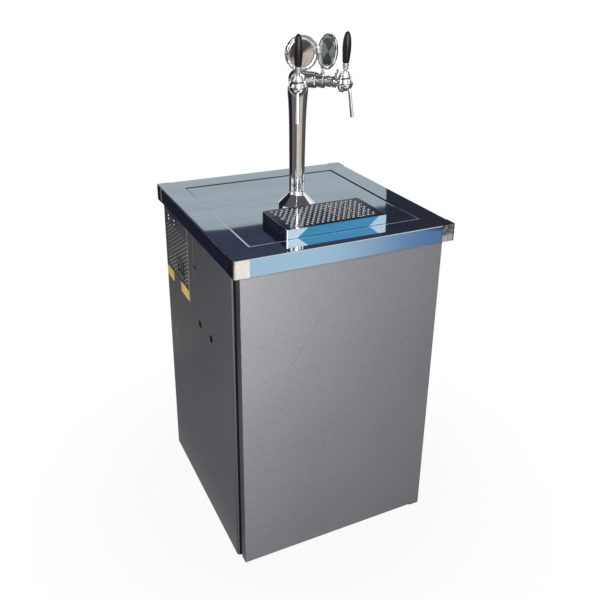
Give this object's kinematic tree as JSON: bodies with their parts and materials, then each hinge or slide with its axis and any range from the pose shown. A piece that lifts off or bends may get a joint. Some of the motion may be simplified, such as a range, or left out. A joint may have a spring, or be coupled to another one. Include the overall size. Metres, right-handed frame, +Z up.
{
  "type": "keg cooler",
  "caption": "Insulated keg cabinet with a hinged door, polished worktop, lift-out drip tray and a V-headed tower that carries lever taps and round medallions.",
  "frame": {"origin": "on the floor under the middle of the worktop", "axes": "+Z up, -Y out of the door, +X to the right as seen from the front"},
  "size_m": [0.6024, 0.6284, 1.3849],
  "materials": {
    "worktop_steel": "polished",
    "polished_steel": "polished",
    "chrome": "mirror polished",
    "dark_coat": "fine textured satin",
    "grey_coat": "satin",
    "black_coat": "satin",
    "black_plastic": "moulded",
    "grey_plastic": "moulded",
    "white_plastic": "moulded",
    "beer_line": "smooth",
    "rubber": "matt",
    "foam": "rigid foam",
    "board": "pressed board",
    "satin_steel": "satin",
    "aluminium": "mill",
    "copper": "drawn"
  },
  "bodies": {
    "cabinet": {"worktop": "worktop_steel", "corner_caps": "chrome", "panel_screws": "chrome", "tower_column": "chrome", "tower_head": "chrome", "tap_arm_left": "chrome", "tap_arm_right": "chrome", "tap_body_left": "chrome", "tap_body_right": "chrome", "tap_spout_left": "chrome", "tap_spout_right": "chrome", "medallion_stems": "chrome", "left_side_panel": "dark_coat", "right_side_panel": "dark_coat", "back_panel": "dark_coat", "base_pan": "dark_coat", "vent_covers": "dark_coat", "hinge_bracket_top": "dark_coat", "hinge_bracket_bottom": "dark_coat", "worktop_brackets": "black_coat", "compressor": "black_coat", "fan_motor": "black_coat", "fan_shroud": "black_plastic", "controller_plate": "black_plastic", "power_inlet": "black_plastic", "port_sleeves": "black_plastic", "levelling_feet": "black_plastic", "front_frame": "grey_plastic", "inner_liner": "white_plastic", "thermostat_housing": "white_plastic", "beer_lines": "beer_line", "tower_seal": "rubber", "compressor_mounts": "rubber", "insulation_boards": "foam", "worktop_core": "board", "floor_plate": "satin_steel", "bay_tray": "satin_steel", "tower_shank": "satin_steel", "tower_nut": "satin_steel", "condenser": "aluminium", "evaporator_plate": "aluminium", "refrigerant_pipes": "copper"},
    "door": {"door_skin": "grey_coat", "door_insulation": "foam", "door_liner": "white_plastic", "door_gasket": "rubber", "door_bushes": "white_plastic"},
    "fan": {"condenser_fan": "black_plastic"},
    "left_lever": {"tap_lever_left": "chrome", "tap_handle_left": "black_plastic"},
    "right_lever": {"tap_lever_right": "chrome", "tap_handle_right": "black_plastic"},
    "left_flow": {"flow_lever_left": "chrome"},
    "right_flow": {"flow_lever_right": "chrome"},
    "left_medallion": {"medallion_left": "chrome"},
    "right_medallion": {"medallion_right": "chrome"},
    "tray": {"drip_tray": "polished_steel"},
    "grid": {"drip_grid": "polished_steel"},
    "rocker": {"power_rocker": "black_plastic"},
    "knob": {"thermostat_knob": "black_plastic"}
  },
  "joints": [
    {"name": "door_hinge", "type": "hinge", "parent": "cabinet", "child": "door", "pos_m": [0.27, -0.2795, 0.449], "axis": [0, 0, 1], "range_deg": [0, 110]},
    {"name": "fan_spin", "type": "hinge", "parent": "cabinet", "child": "fan", "pos_m": [-0.2063, 0.1794, 0.7435], "axis": [1, 0, 0], "continuous": true},
    {"name": "drip_tray_lift", "type": "slide", "parent": "cabinet", "child": "tray", "axis": [0, 0, 1], "range_m": [0, 0.12]},
    {"name": "drip_grid_lift", "type": "slide", "parent": "tray", "child": "grid", "axis": [0, 0, 1], "range_m": [0, 0.08]},
    {"name": "rocker_switch", "type": "hinge", "parent": "cabinet", "child": "rocker", "pos_m": [-0.2813, 0.141, 0.717], "axis": [0, 1, 0], "range_deg": [-14, 0]},
    {"name": "thermostat_turn", "type": "hinge", "parent": "cabinet", "child": "knob", "pos_m": [-0.165, -0.2004, 0.834], "axis": [0, -1, 0], "range_deg": [0, 270]},
    {"name": "left_tap_lever", "type": "hinge", "parent": "cabinet", "child": "left_lever", "pos_m": [-0.06974, -0.15023, 1.2785], "axis": [0.9026, -0.4305, 0], "range_deg": [-12, 23]},
    {"name": "left_flow_turn", "type": "hinge", "parent": "cabinet", "child": "left_flow", "pos_m": [-0.05812, -0.12586, 1.2635], "axis": [-0.4305, -0.9026, 0], "range_deg": [-40, 40]},
    {"name": "left_medallion_turn", "type": "hinge", "parent": "cabinet", "child": "left_medallion", "pos_m": [-0.04434, -0.09697, 1.2635], "axis": [0.0787, -0.0375, 0.9962], "range_deg": [0, 25]},
    {"name": "right_tap_lever", "type": "hinge", "parent": "cabinet", "child": "right_lever", "pos_m": [0.06379, -0.13442, 1.2785], "axis": [0.7771, 0.6293, 0], "range_deg": [-12, 23]},
    {"name": "right_flow_turn", "type": "hinge", "parent": "cabinet", "child": "right_flow", "pos_m": [0.0468, -0.11344, 1.2635], "axis": [0.6293, -0.7771, 0], "range_deg": [-40, 40]},
    {"name": "right_medallion_turn", "type": "hinge", "parent": "cabinet", "child": "right_medallion", "pos_m": [0.02666, -0.08857, 1.2635], "axis": [0, 0, 1], "range_deg": [0, 25]}
  ]
}
